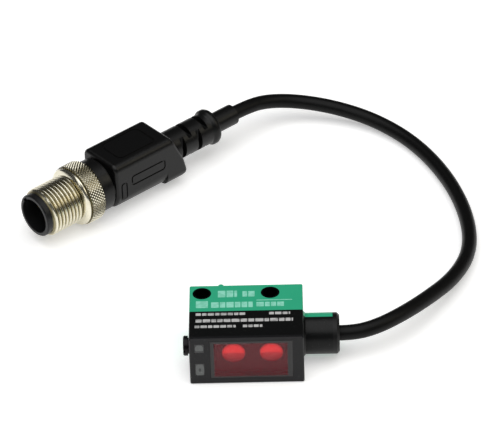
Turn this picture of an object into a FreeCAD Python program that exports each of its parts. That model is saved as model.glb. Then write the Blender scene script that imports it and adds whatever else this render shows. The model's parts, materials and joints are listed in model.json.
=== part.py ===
import FreeCAD, Part
import math
import os

import Sketcher

# Miniature rectangular photoelectric sensor with a short cable and an M12 plug.
# Frame: millimetres, +Z up.  The housing lies on its flat side on z = 0, with its
# length along X (cable end +X), its optical face towards -Y, and the origin in
# the middle of the face that it lies on.

Vector = FreeCAD.Vector
X_AXIS = Vector(1, 0, 0)
Y_AXIS = Vector(0, 1, 0)
Z_AXIS = Vector(0, 0, 1)

doc = FreeCAD.newDocument("photoelectric_sensor")
sheet = doc.addObject("Spreadsheet::Sheet", "Sizes")


# ---------------------------------------------------------------- driving sizes

SIZES = [
    ("body_length", 25.4, "housing length along X"),
    ("body_depth", 19.4, "housing depth along Y"),
    ("body_thickness", 12.6, "housing thickness along Z"),
    ("split_from_front", 10.05, "optical face to the joint of the two shells"),
    ("wall", 1.2, "shell wall"),
    ("edge_radius", 0.4, "outer corner radius of the shells"),
    ("fit_gap", 0.05, "clearance round a piece that is pushed into another"),
    ("turn_gap", 0.05, "radial clearance of a piece that turns in another"),
    ("cover_thickness", 1.0, "front cover plate"),
    ("cover_chamfer", 0.25, "chamfer round the front cover"),
    ("window_left", 4.6, "left end of the housing to the window"),
    ("window_width", 18.3, "window along X"),
    ("window_bottom", 1.6, "underside to the window"),
    ("window_height", 10.2, "window along Z"),
    ("window_corner", 0.6, "corner radius of the window"),
    ("window_lip", 0.5, "lip round the window, behind the cover"),
    ("window_lip_thickness", 0.6, "lip thickness"),
    ("indicator_from_left", 2.25, "left end to the middle of both indicators"),
    ("indicator_width", 2.2, "indicator window along X"),
    ("upper_indicator_bottom", 8.7, "underside to the upper indicator"),
    ("upper_indicator_height", 2.5, "upper indicator along Z"),
    ("lower_indicator_bottom", 2.43, "underside to the lower indicator"),
    ("lower_indicator_height", 3.4, "lower indicator along Z"),
    ("light_rod_radius", 0.7, "light guide behind an indicator window"),
    ("lower_rod_level", 2.9, "height of the lower light guide's rod"),
    ("lens_from_left", 13.95, "left end to the middle between the lenses"),
    ("lens_spacing", 8.4, "distance between the lens axes"),
    ("lens_radius", 2.6, "lens"),
    ("lens_rim", 0.9, "lens thickness at its edge"),
    ("lens_rise", 1.2, "height of the lens dome"),
    ("chamber_depth", 1.3, "recess in front of the lenses"),
    ("carrier_rim", 0.4, "rim round the recess of the lens carrier"),
    ("barrel_radius", 2.1, "light channel behind a lens"),
    ("board_from_front", 8.7, "optical face to the circuit board"),
    ("board_thickness", 1.0, "circuit board"),
    ("board_margin", 0.3, "board to the wall, along X and Z"),
    ("board_right_gap", 3.5, "board to the right-hand wall, for the cable end"),
    ("hole_inset", 2.8, "mounting hole axis to the left end and to the rear"),
    ("hole_spacing", 15.3, "distance between the two mounting holes"),
    ("sleeve_radius", 2.1, "outside of a mounting sleeve"),
    ("screw_hole_radius", 1.6, "clearance hole for an M3 screw"),
    ("sleeve_wall", 1.0, "plastic left round a mounting sleeve"),
    ("pin_from_left", 7.05, "left end to the rear locating pin"),
    ("pin_below_top", 0.9, "label face to the locating pin's axis"),
    ("pin_radius", 0.7, "locating pin"),
    ("pin_reach", 0.8, "locating pin beyond the rear face"),
    ("collar_radius", 4.65, "cable collar of the two shells"),
    ("collar_length", 6.5, "cable collar along X"),
    ("collar_flare", 0.45, "flare at the root of the collar"),
    ("grommet_cap", 1.5, "rubber cap beyond the collar"),
    ("grommet_cap_edge", 0.55, "rounding of the rubber cap"),
    ("grommet_stem_radius", 3.0, "grommet inside the collar"),
    ("grommet_flange_radius", 3.8, "grommet flange inside the housing"),
    ("grommet_flange", 1.2, "thickness of that flange"),
    ("clamp_length", 1.5, "crimp ring on the cable"),
    ("clamp_wall", 0.5, "crimp ring wall"),
    ("clamp_clearance", 0.2, "free space round the crimp ring"),
    ("cable_radius", 1.75, "cable jacket"),
    ("cable_height", 5.8, "underside to the axis of the cable entry"),
    ("core_radius", 0.45, "insulated core"),
    ("core_offset", 0.62, "core axis from the two middle planes of the cable"),
    ("adjuster_from_front", 5.9, "optical face to the adjuster axis"),
    ("adjuster_height", 6.3, "underside to the adjuster axis"),
    ("knob_radius", 2.25, "adjuster knob"),
    ("knob_thickness", 1.05, "adjuster knob"),
    ("knob_edge", 0.2, "rounding of the knob"),
    ("knob_neck_radius", 1.8, "neck under the knob"),
    ("knob_neck", 0.35, "length of the neck"),
    ("knob_slot_width", 0.7, "screwdriver slot"),
    ("knob_slot_depth", 0.45, "screwdriver slot"),
    ("shaft_radius", 1.0, "adjuster shaft"),
    ("seal_radius", 1.65, "outside of the shaft seal"),
    ("seal_length", 0.7, "shaft seal along the shaft"),
    ("rotor_radius", 1.7, "trimmer rotor"),
    ("rotor_thickness", 0.6, "trimmer rotor"),
    ("rotor_stub_radius", 0.8, "stub of the rotor in the trimmer"),
    ("rotor_stub_length", 1.2, "stub of the rotor in the trimmer"),
    ("trimmer_length", 2.1, "trimmer along X"),
    ("trimmer_width", 4.6, "trimmer along Z"),
    ("plug_x", -49.64, "front of the plug"),
    ("plug_y", 44.8, "front of the plug"),
    ("plug_heading", 41.3, "plug axis, degrees from +X towards +Y"),
    ("plug_height", 7.6, "plug axis above the resting plane"),
    ("rim_radius", 5.25, "front rim of the contact carrier"),
    ("rim_length", 1.45, "front rim of the contact carrier"),
    ("rim_chamfer", 0.3, "chamfer of the rim"),
    ("carrier_wall", 0.5, "wall of the contact carrier round its socket"),
    ("socket_depth", 8.0, "inside of the contact carrier"),
    ("keyway_width", 1.4, "coding groove"),
    ("keyway_depth", 0.45, "coding groove"),
    ("neck_radius", 4.8, "carrier inside the coupling nut"),
    ("carrier_length", 24.0, "contact carrier"),
    ("contact_circle_radius", 2.5, "circle of the contacts"),
    ("contact_radius", 0.5, "contact pin"),
    ("contact_setback", 3.0, "contact tips behind the front rim"),
    ("contact_end", 18.0, "rear end of the contacts from the front rim"),
    ("nut_play", 0.1, "axial play of the coupling nut at each end"),
    ("thread_radius", 6.0, "M12 thread, major radius"),
    ("thread_length", 8.4, "thread of the coupling nut"),
    ("thread_chamfer", 0.6, "lead-in of the thread"),
    ("thread_relief_radius", 5.45, "relief behind the thread"),
    ("thread_relief", 0.4, "relief behind the thread"),
    ("band_radius", 7.2, "smooth band of the nut"),
    ("band_slope", 0.6, "shoulder in front of the band"),
    ("band_length", 0.5, "smooth band of the nut"),
    ("band_groove", 0.15, "groove between the band and the knurl"),
    ("knurl_radius", 7.55, "knurled grip of the nut"),
    ("knurl_length", 4.3, "knurled grip of the nut"),
    ("knurl_chamfer", 0.3, "edges of the knurled grip"),
    ("overmould_collar_radius", 6.5, "round collar behind the nut"),
    ("overmould_collar", 4.0, "round collar behind the nut"),
    ("block_length", 17.5, "grip block of the overmould, along its top"),
    ("block_half_width", 6.1, "grip block, middle to its side"),
    ("block_top", 6.9, "plug axis to the flat top"),
    ("block_bottom", 6.0, "plug axis to the underside"),
    ("block_top_edge", 1.0, "chamfer along the top of the block"),
    ("block_bottom_edge", 4.5, "lower edge radius of the grip"),
    ("heel_overlap", 1.7, "square heel begins this far ahead of the end of the top"),
    ("heel_length", 6.2, "square heel of the overmould"),
    ("heel_lean", 3.5, "underside to the knee of the sloping rear face"),
    ("boot_seat", 0.8, "boot let into the block"),
    ("heel_edge", 1.5, "rounding of the heel"),
    ("core_block_radius", 4.0, "inner block inside the overmould"),
    ("core_block_length", 10.0, "inner block inside the overmould"),
    ("core_run", 4.0, "bare cores between carrier and cable jacket"),
    ("boot_neck_radius", 2.8, "boot inside the overmould"),
    ("boot_radius", 3.95, "bend relief boot"),
    ("boot_length", 10.85, "bend relief boot, outside the overmould"),
    ("boot_bead_radius", 4.5, "bead at the end of the boot"),
    ("boot_bead", 1.8, "bead at the end of the boot"),
    ("boot_slot_start", 0.5, "first slot from the heel"),
    ("boot_slot_width", 1.2, "slots across the boot"),
    ("boot_slot_pitch", 2.5, "distance between the slots"),
    ("boot_slot_floor", 0.6, "boot wall left under a slot"),
    ("tail_radius", 2.55, "end sleeve on the cable"),
    ("tail_length", 6.9, "end sleeve on the cable"),
]


class Size:
    """A number together with the sheet expression that it comes from."""

    def __init__(self, value, text):
        self.value = value
        self.text = text

    def join(self, other, sign, value, swapped=False):
        first, second = self.text, wrap(other).text
        if swapped:
            first, second = second, first
        return Size(value, f"({first} {sign} {second})")

    def __add__(self, other):
        return self.join(other, "+", self.value + wrap(other).value)

    def __radd__(self, other):
        return self + other

    def __sub__(self, other):
        return self.join(other, "-", self.value - wrap(other).value)

    def __rsub__(self, other):
        return self.join(other, "-", wrap(other).value - self.value, swapped=True)

    def __mul__(self, other):
        return self.join(other, "*", self.value * wrap(other).value)

    def __rmul__(self, other):
        return self * other

    def __truediv__(self, other):
        return self.join(other, "/", self.value / wrap(other).value)

    def __neg__(self):
        return Size(-self.value, f"(0 - {self.text})")


def wrap(number):
    return number if isinstance(number, Size) else Size(float(number), str(number))


class Named:
    """The driving sizes by name."""


S = Named()
for row, (name, value, note) in enumerate(SIZES, start=1):
    sheet.set(f"A{row}", name)
    sheet.set(f"B{row}", str(value))
    sheet.setAlias(f"B{row}", name)
    sheet.set(f"C{row}", note)
    setattr(S, name, Size(value, "Sizes." + name))
doc.recompute()


# ------------------------------------------------------------------- how to build

parts = {}


def bind(thing, prop, length):
    """Set a property to a number, or tie it to the sheet."""
    length = wrap(length)
    if "Sizes." in length.text:
        thing.setExpression(prop, length.text)
    else:
        setattr(thing, prop, length.value)


def place(thing, x=0, y=0, z=0, axis=Z_AXIS, turn=0):
    """Put an object at a point, turned about an axis."""
    spot = [wrap(x), wrap(y), wrap(z)]
    turn = wrap(turn)
    thing.Placement = FreeCAD.Placement(
        Vector(*[each.value for each in spot]),
        FreeCAD.Rotation(axis, turn.value),
    )
    for letter, each in zip("xyz", spot):
        if "Sizes." in each.text:
            thing.setExpression(f".Placement.Base.{letter}", each.text)
    if "Sizes." in turn.text:
        thing.setExpression(".Placement.Rotation.Angle", turn.text)
    return thing


def keep(label, thing):
    """Name a finished sub-part."""
    thing.Label = label
    parts[label] = thing
    return thing


def box(x, y, z):
    """A box between three pairs of limits."""
    solid = doc.addObject("Part::Box", "Block")
    bind(solid, "Length", x[1] - x[0])
    bind(solid, "Width", y[1] - y[0])
    bind(solid, "Height", z[1] - z[0])
    return place(solid, x[0], y[0], z[0])


def rod(radius, ends, axis, across=(0, 0)):
    """A cylinder along one axis; across gives the other two coordinates."""
    solid = doc.addObject("Part::Cylinder", "Rod")
    bind(solid, "Radius", radius)
    bind(solid, "Height", ends[1] - ends[0])
    if axis == "X":
        return place(solid, ends[0], across[0], across[1], Y_AXIS, 90)
    if axis == "Y":
        return place(solid, across[0], ends[0], across[1], X_AXIS, -90)
    return place(solid, across[0], across[1], ends[0])


def fuse(*solids):
    joined = doc.addObject("Part::MultiFuse", "Joined")
    joined.Shapes = list(solids)
    return joined


def cut(base, *tools):
    taken = doc.addObject("Part::Cut", "Cut")
    taken.Base = base
    taken.Tool = tools[0] if len(tools) == 1 else fuse(*tools)
    return taken


def group(*solids):
    """Separate solids that share one node."""
    together = doc.addObject("Part::Compound", "Group")
    together.Links = list(solids)
    return together


def new_body():
    return doc.addObject("PartDesign::Body", "Body")


def new_sketch(body, role, depth=0):
    """A sketch on one of the body's own origin planes, moved along its normal."""
    sketch = body.newObject("Sketcher::SketchObject", "Sketch")
    plane = next(each for each in body.Origin.OriginFeatures if each.Role == role)
    sketch.AttachmentSupport = [(plane, "")]
    sketch.MapMode = "FlatFace"
    depth = wrap(depth)
    sketch.AttachmentOffset = FreeCAD.Placement(
        Vector(0, 0, depth.value), FreeCAD.Rotation()
    )
    if "Sizes." in depth.text:
        sketch.setExpression(".AttachmentOffset.Base.z", depth.text)
    return sketch


def fix_point(sketch, line, end, x, y):
    """Dimension one point of a sketch from the sketch's origin."""
    for kind, length, other_axis in (("DistanceX", x, -2), ("DistanceY", y, -1)):
        length = wrap(length)
        if length.text == "0":
            sketch.addConstraint(
                Sketcher.Constraint("PointOnObject", line, end, other_axis)
            )
            continue
        number = sketch.addConstraint(
            Sketcher.Constraint(kind, -1, 1, line, end, length.value)
        )
        if "Sizes." in length.text:
            sketch.setExpression(f"Constraints[{number}]", length.text)


def polygon(sketch, corners):
    """A closed outline through dimensioned corners."""
    corners = [(wrap(x), wrap(y)) for x, y in corners]
    first = sketch.GeometryCount
    count = len(corners)
    for number in range(count):
        x0, y0 = corners[number]
        x1, y1 = corners[(number + 1) % count]
        start = Vector(x0.value, y0.value, 0)
        end = Vector(x1.value, y1.value, 0)
        sketch.addGeometry(Part.LineSegment(start, end), False)
    for number in range(count):
        following = first + (number + 1) % count
        sketch.addConstraint(
            Sketcher.Constraint("Coincident", first + number, 2, following, 1)
        )
    for number, (x, y) in enumerate(corners):
        fix_point(sketch, first + number, 1, x, y)


def rectangle(sketch, x, y):
    polygon(sketch, [(x[0], y[0]), (x[1], y[0]), (x[1], y[1]), (x[0], y[1])])


def circle(sketch, x, y, radius):
    radius = wrap(radius)
    centre = Vector(wrap(x).value, wrap(y).value, 0)
    number = sketch.addGeometry(Part.Circle(centre, Z_AXIS, radius.value), False)
    fix_point(sketch, number, 3, x, y)
    size = sketch.addConstraint(Sketcher.Constraint("Radius", number, radius.value))
    sketch.setExpression(f"Constraints[{size}]", radius.text)


def pad(body, sketch, length, reverse=False):
    feature = body.newObject("PartDesign::Pad", "Pad")
    feature.Profile = sketch
    bind(feature, "Length", length)
    feature.Reversed = reverse
    doc.recompute()
    return feature


def pocket(body, sketch, length, reverse=False):
    """Cut a pocket, and make sure that it took something away."""
    before = body.Shape.Volume
    feature = body.newObject("PartDesign::Pocket", "Pocket")
    feature.Profile = sketch
    bind(feature, "Length", length)
    feature.Reversed = reverse
    doc.recompute()
    if not body.Shape.Volume < before:
        raise RuntimeError(f"{feature.Label} cuts nothing")
    return feature


def revolve(body, sketch, angle=360, reverse=False, kind="Revolution"):
    """Turn a sketch about its own horizontal axis."""
    feature = body.newObject(f"PartDesign::{kind}", kind)
    feature.Profile = sketch
    feature.ReferenceAxis = (sketch, ["H_Axis"])
    feature.Angle = angle
    feature.Reversed = reverse
    doc.recompute()
    return feature


def edges_where(shape, test):
    """Names of the straight edges whose two ends pass a test."""
    names = []
    for number, edge in enumerate(shape.Edges, start=1):
        ends = [vertex.Point for vertex in edge.Vertexes]
        if len(ends) == 2 and isinstance(edge.Curve, Part.Line) and test(*ends):
            names.append(f"Edge{number}")
    return names


def soften(body, feature, names, size, kind="Fillet"):
    """Round or chamfer edges of a body's newest feature."""
    dressed = body.newObject(f"PartDesign::{kind}", kind)
    dressed.Base = (feature, names)
    bind(dressed, "Radius" if kind == "Fillet" else "Size", size)
    doc.recompute()
    return dressed


def turned(outline):
    """A body turned about its own X axis from an outline of (station, radius)."""
    body = new_body()
    sketch = new_sketch(body, "XY_Plane")
    polygon(sketch, outline)
    revolve(body, sketch)
    return body


def tube_outline(start, end, inner, outer):
    return [(start, inner), (end, inner), (end, outer), (start, outer)]


def round_path(points):
    """Straight runs joined by tangent arcs, and the radii of the arcs."""
    share = 0.45
    edges = []
    radii = []
    last = points[0]
    for before, corner, after in zip(points, points[1:], points[2:]):
        way_in = (corner - before).normalize()
        way_out = (after - corner).normalize()
        turn = way_in.getAngle(way_out)
        cutback = share * min((corner - before).Length, (after - corner).Length)
        radii.append(cutback / math.tan(turn / 2))
        start = corner - way_in * cutback
        end = corner + way_out * cutback
        inward = (way_out - way_in).normalize()
        middle = corner + inward * (
            radii[-1] / math.cos(turn / 2) - radii[-1]
        )
        edges.append(Part.LineSegment(last, start).toShape())
        edges.append(Part.Arc(start, middle, end).toShape())
        last = end
    edges.append(Part.LineSegment(last, points[-1]).toShape())
    return Part.Wire(edges), radii


def swept_tube(points, radius):
    """A round tube along a route, with its path and the radii of its arcs."""
    path, radii = round_path(points)
    start_circle = Part.Circle(points[0], points[1] - points[0], radius)
    section = Part.Wire([start_circle.toShape()])
    solid = path.makePipeShell([section], True, False)
    return solid, path, radii


def feature_of(shape):
    feature = doc.addObject("Part::Feature", "Swept")
    feature.Shape = shape
    feature.Placement = FreeCAD.Placement()
    return feature


# -------------------------------------------------------------------- main planes

left = -(S.body_length / 2)
right = S.body_length / 2
front = -(S.body_depth / 2)
rear = S.body_depth / 2
top = S.body_thickness
middle = S.body_thickness / 2
split = front + S.split_from_front
underside = -S.cable_height
roof = top - S.cable_height
shaft_level = S.adjuster_height - S.cable_height
cover_back = front + S.cover_thickness
inner_left = left + S.wall
inner_right = right - S.wall
inner_top = top - S.wall
inner_rear = rear - S.wall
board_front = front + S.board_from_front
board_back = board_front + S.board_thickness
hole_x = left + S.hole_inset
hole_y = rear - S.hole_inset
cable_hole = S.grommet_stem_radius + S.fit_gap
collar_end = right + S.collar_length
grommet_end = collar_end + S.grommet_cap
adjuster_y = front + S.adjuster_from_front


# ----------------------------------------------------------------- the two shells
# Each shell is drawn in a frame whose origin is on the cable axis, in the joint.

def shell_blank(depth, rearward):
    """Outer block of a shell and its half of the cable collar."""
    body = new_body()
    sketch = new_sketch(body, "XZ_Plane")
    rectangle(sketch, (left, right), (underside, roof))
    block = pad(body, sketch, depth, reverse=rearward)
    long_edges = edges_where(
        block.Shape, lambda a, b: abs(a.y - b.y) > 1
    )
    soften(body, block, long_edges, S.edge_radius)
    collar = new_sketch(body, "XZ_Plane")
    polygon(
        collar,
        [
            (right - S.edge_radius, 0),
            (collar_end, 0),
            (collar_end, S.collar_radius),
            (right + S.collar_flare, S.collar_radius),
            (right, S.collar_radius + S.collar_flare),
            (right - S.edge_radius, S.collar_radius + S.collar_flare),
        ],
    )
    revolve(body, collar, 180, reverse=rearward)
    place(body, 0, split, S.cable_height)
    return body


def bore_collar(body):
    """Hole for the cable grommet through the collar and the end wall."""
    bore = new_sketch(body, "YZ_Plane", collar_end)
    circle(bore, 0, 0, cable_hole)
    pocket(body, bore, S.collar_length + S.wall)


def front_housing():
    body = shell_blank(split - cover_back, rearward=False)
    cavity = new_sketch(body, "XZ_Plane")
    rectangle(cavity, (inner_left, inner_right), (underside + S.wall, roof - S.wall))
    pocket(body, cavity, split - cover_back, reverse=True)
    bore_collar(body)
    shaft_hole = new_sketch(body, "YZ_Plane", left)
    circle(shaft_hole, adjuster_y - split, shaft_level, S.shaft_radius + S.turn_gap)
    pocket(body, shaft_hole, S.wall, reverse=True)
    seal_seat = new_sketch(body, "YZ_Plane", inner_left)
    circle(seal_seat, adjuster_y - split, shaft_level, S.seal_radius + S.fit_gap)
    pocket(body, seal_seat, S.seal_length + S.fit_gap)
    keep("front_housing", body)


def rear_housing():
    body = shell_blank(rear - split, rearward=True)
    hollow = (underside + S.wall, roof - S.wall)
    boss = S.sleeve_radius + S.sleeve_wall
    wide = new_sketch(body, "XZ_Plane")
    rectangle(wide, (inner_left, inner_right), hollow)
    pocket(body, wide, hole_y - boss - split)
    bays = [
        (hole_x + boss, hole_x + S.hole_spacing - boss),
        (hole_x + S.hole_spacing + boss, inner_right),
    ]
    for bay in bays:
        deep = new_sketch(body, "XZ_Plane")
        rectangle(deep, bay, hollow)
        pocket(body, deep, inner_rear - split)
    bore_collar(body)
    holes = new_sketch(body, "XY_Plane", roof)
    for x in (hole_x, hole_x + S.hole_spacing):
        circle(holes, x, hole_y - split, S.sleeve_radius)
    pocket(body, holes, S.body_thickness)
    pin_hole = new_sketch(body, "XZ_Plane", -(rear - split))
    circle(pin_hole, left + S.pin_from_left, roof - S.pin_below_top, S.pin_radius)
    pocket(body, pin_hole, S.wall, reverse=True)
    keep("rear_housing", body)


def front_cover():
    """Plate that closes the optical face, with its window and two indicators."""
    body = new_body()
    outline = new_sketch(body, "XZ_Plane")
    rectangle(outline, (left, right), (0, S.body_thickness))
    plate = pad(body, outline, S.cover_thickness)
    corners = edges_where(plate.Shape, lambda a, b: abs(a.y - b.y) > S.cover_thickness.value / 2)
    rounded = soften(body, plate, corners, S.edge_radius)
    face_y = -S.cover_thickness.value
    rim = edges_where(
        rounded.Shape,
        lambda a, b: abs(a.y - face_y) < 1e-6 and abs(b.y - face_y) < 1e-6,
    )
    soften(body, rounded, rim, S.cover_chamfer, "Chamfer")
    window = new_sketch(body, "XZ_Plane")
    rectangle(
        window,
        (left + S.window_left, left + S.window_left + S.window_width),
        (S.window_bottom, S.window_bottom + S.window_height),
    )
    pocket(body, window, S.cover_thickness, reverse=True)
    for bottom, height in INDICATORS:
        opening = new_sketch(body, "XZ_Plane")
        rectangle(opening, indicator_sides(), (bottom, bottom + height))
        pocket(body, opening, S.cover_thickness, reverse=True)
    place(body, 0, cover_back, 0)
    keep("front_cover", body)


INDICATORS = [
    (S.upper_indicator_bottom, S.upper_indicator_height),
    (S.lower_indicator_bottom, S.lower_indicator_height),
]


def indicator_sides():
    centre = left + S.indicator_from_left
    return (centre - S.indicator_width / 2, centre + S.indicator_width / 2)


# -------------------------------------------------------------------- the optics

def front_window():
    """Red pane: it fills the cover's opening and has a lip behind the cover."""
    x0 = left + S.window_left
    z0 = S.window_bottom
    pane = box(
        (x0 + S.fit_gap, x0 + S.window_width - S.fit_gap),
        (front, cover_back),
        (z0 + S.fit_gap, z0 + S.window_height - S.fit_gap),
    )
    lip = box(
        (x0 - S.window_lip, x0 + S.window_width + S.window_lip),
        (cover_back, cover_back + S.window_lip_thickness),
        (S.wall + S.fit_gap, inner_top - S.fit_gap),
    )
    keep("front_window", fuse(pane, lip))


lens_middle = left + S.lens_from_left
lens_places = [lens_middle - S.lens_spacing / 2, lens_middle + S.lens_spacing / 2]
carrier_front = cover_back + S.window_lip_thickness
chamber_floor = carrier_front + S.chamber_depth
carrier_left = left + S.window_left - S.window_lip


def lens_carrier():
    """Black optics block: recess behind the window, lens seats and barrels."""
    carrier_right = left + S.window_left + S.window_width
    low = S.wall + S.fit_gap
    high = inner_top - S.fit_gap
    block = box((carrier_left, carrier_right), (carrier_front, board_front), (low, high))
    recess = box(
        (carrier_left + S.carrier_rim, carrier_right - S.carrier_rim),
        (carrier_front, chamber_floor),
        (low + S.carrier_rim, high - S.carrier_rim),
    )
    tools = [recess]
    for x in lens_places:
        tools.append(
            rod(
                S.lens_radius + S.fit_gap,
                (chamber_floor, chamber_floor + S.lens_rim),
                "Y",
                (x, middle),
            )
        )
        tools.append(rod(S.barrel_radius, (chamber_floor, board_front), "Y", (x, middle)))
    tools.append(
        rod(
            S.cable_radius + S.clamp_wall + S.clamp_clearance,
            (clamp_start - S.clamp_clearance, inner_right),
            "X",
            (split, S.cable_height),
        )
    )
    keep("lens_carrier", cut(block, *tools))


def lens(label, x):
    """Plano-convex lens: a short rim and a spherical dome towards the window."""
    rim_back = chamber_floor + S.lens_rim
    ball_radius = (S.lens_radius * S.lens_radius + S.lens_rise * S.lens_rise) / (
        S.lens_rise * 2
    )
    apex = chamber_floor - S.lens_rise
    ball = doc.addObject("Part::Sphere", "Dome")
    bind(ball, "Radius", ball_radius)
    place(ball, x, apex + ball_radius, middle)
    blank = rod(S.lens_radius, (apex, rim_back), "Y", (x, middle))
    dome = doc.addObject("Part::Common", "Lens")
    dome.Base = blank
    dome.Tool = ball
    keep(label, dome)


def light_guide(label, bottom, height, rod_level):
    """Clear piece: its window fills the cover, its rod leads to a lamp."""
    sides = indicator_sides()
    head = box(
        (sides[0] + S.fit_gap, sides[1] - S.fit_gap),
        (front, cover_back),
        (bottom + S.fit_gap, bottom + height - S.fit_gap),
    )
    lamp_front = board_front - LAMP_HEIGHT - S.fit_gap
    guide = rod(
        S.light_rod_radius,
        (cover_back, lamp_front),
        "Y",
        (left + S.indicator_from_left, rod_level),
    )
    keep(label, fuse(head, guide))


# --------------------------------------------------------------- the electronics

LAMP_HEIGHT = 0.8
LAMP_SIDE = 1.6
RECEIVER_SIDE = 2.8
RECEIVER_HEIGHT = 1.0
CHIP_HEIGHT = 1.0


def on_board(x, z, width, height, thickness, behind=False):
    """A component centred at x, z on one side of the circuit board."""
    y = (board_front - thickness, board_front)
    if behind:
        y = (board_back, board_back + thickness)
    return box((x - width / 2, x + width / 2), y, (z - height / 2, z + height / 2))


def electronics():
    board = box(
        (inner_left + S.board_margin, inner_right - S.board_right_gap),
        (board_front, board_back),
        (S.wall + S.board_margin, inner_top - S.board_margin),
    )
    keep("circuit_board", board)
    emitter = on_board(lens_places[0], middle, LAMP_SIDE, LAMP_SIDE, LAMP_HEIGHT)
    keep("emitter_led", emitter)
    receiver = on_board(
        lens_places[1], middle, RECEIVER_SIDE, RECEIVER_SIDE, RECEIVER_HEIGHT
    )
    keep("receiver_chip", receiver)
    lamps = [
        on_board(left + S.indicator_from_left, level, LAMP_SIDE, LAMP_HEIGHT, LAMP_HEIGHT)
        for level in (upper_rod_level, S.lower_rod_level)
    ]
    keep("indicator_leds", group(*lamps))
    controller = on_board(lens_middle - 3, middle, 4.0, 4.0, CHIP_HEIGHT, behind=True)
    keep("controller_chip", controller)
    drivers = [
        on_board(lens_middle + 1.2, middle + offset, 1.6, 2.9, CHIP_HEIGHT, behind=True)
        for offset in (-2.4, 2.4)
    ]
    keep("output_transistors", group(*drivers))
    small = [
        on_board(lens_middle - 6.5, middle + offset, 1.6, 0.8, 0.7, behind=True)
        for offset in (-3, -1.5, 0, 1.5, 3)
    ]
    keep("chip_capacitors", group(*small))


upper_rod_level = S.upper_indicator_bottom + S.upper_indicator_height / 2


# ------------------------------------------------------------------- the adjuster

def adjuster():
    """Knob, shaft and trimmer rotor turn together; the trimmer stays."""
    knob_root = left - S.turn_gap
    neck_end = knob_root - S.knob_neck
    face = neck_end - S.knob_thickness
    rotor_face = inner_left + S.fit_gap
    rotor_back = rotor_face + S.rotor_thickness
    knob = turned(
        [
            (face, 0),
            (face, S.knob_radius - S.knob_edge),
            (face + S.knob_edge, S.knob_radius),
            (neck_end, S.knob_radius),
            (neck_end, S.knob_neck_radius),
            (knob_root, S.knob_neck_radius),
            (knob_root, S.shaft_radius),
            (rotor_face, S.shaft_radius),
            (rotor_face, 0),
        ]
    )
    place(knob, 0, adjuster_y, S.adjuster_height)
    slot = box(
        (face, face + S.knob_slot_depth),
        (adjuster_y - S.knob_radius, adjuster_y + S.knob_radius),
        (S.adjuster_height - S.knob_slot_width / 2, S.adjuster_height + S.knob_slot_width / 2),
    )
    keep("adjuster_knob", cut(knob, slot))
    rotor = turned(
        [
            (rotor_face, 0),
            (rotor_face, S.rotor_radius),
            (rotor_back, S.rotor_radius),
            (rotor_back, S.rotor_stub_radius),
            (rotor_back + S.rotor_stub_length, S.rotor_stub_radius),
            (rotor_back + S.rotor_stub_length, 0),
        ]
    )
    place(rotor, 0, adjuster_y, S.adjuster_height)
    keep("trimmer_rotor", rotor)
    trimmer_left = rotor_back + S.turn_gap
    half = S.trimmer_width / 2
    case = box(
        (trimmer_left, trimmer_left + S.trimmer_length),
        (adjuster_y - half, board_front),
        (S.adjuster_height - half, S.adjuster_height + half),
    )
    stub_hole = rod(
        S.rotor_stub_radius + S.turn_gap,
        (trimmer_left, rotor_back + S.rotor_stub_length + S.turn_gap),
        "X",
        (adjuster_y, S.adjuster_height),
    )
    keep("trimmer", cut(case, stub_hole))
    seal = turned(
        tube_outline(
            inner_left - S.seal_length,
            inner_left,
            S.shaft_radius + S.turn_gap,
            S.seal_radius,
        )
    )
    place(seal, 0, adjuster_y, S.adjuster_height)
    keep("shaft_seal", seal)


# ------------------------------------------------------- mounting and cable entry

def mounting_sleeves():
    sleeves = []
    for x in (hole_x, hole_x + S.hole_spacing):
        outside = rod(S.sleeve_radius, (wrap(0), top), "Z", (x, hole_y))
        screw_hole = rod(S.screw_hole_radius, (wrap(0), top), "Z", (x, hole_y))
        sleeves.append(cut(outside, screw_hole))
    keep("mounting_sleeves", group(*sleeves))


def locating_pin():
    pin = rod(
        S.pin_radius,
        (inner_rear, rear + S.pin_reach),
        "Y",
        (left + S.pin_from_left, top - S.pin_below_top),
    )
    keep("locating_pin", pin)


flange_inside = inner_right - S.grommet_flange
clamp_start = flange_inside - S.clamp_length


def cable_entry():
    grommet = turned(
        [
            (flange_inside, S.cable_radius),
            (grommet_end, S.cable_radius),
            (grommet_end, S.collar_radius - S.grommet_cap_edge),
            (grommet_end - S.grommet_cap_edge, S.collar_radius),
            (collar_end, S.collar_radius),
            (collar_end, S.grommet_stem_radius),
            (inner_right, S.grommet_stem_radius),
            (inner_right, S.grommet_flange_radius),
            (flange_inside, S.grommet_flange_radius),
        ]
    )
    place(grommet, 0, split, S.cable_height)
    keep("cable_grommet", grommet)
    clamp = turned(
        tube_outline(
            clamp_start,
            flange_inside,
            S.cable_radius,
            S.cable_radius + S.clamp_wall,
        )
    )
    place(clamp, 0, split, S.cable_height)
    keep("cable_clamp", clamp)
    entry = (split, S.cable_height)
    inside_end = rod(S.cable_radius, (clamp_start, grommet_end), "X", entry)
    keep("cable_end_in_sensor", inside_end)


CORE_PLACES = {
    "brown_core": (-1, 1),
    "white_core": (1, 1),
    "blue_core": (-1, -1),
    "black_core": (1, -1),
}
CORE_LEVELS = {"brown_core": 3.3, "white_core": 1.4, "blue_core": -3.3, "black_core": -1.4}


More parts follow.
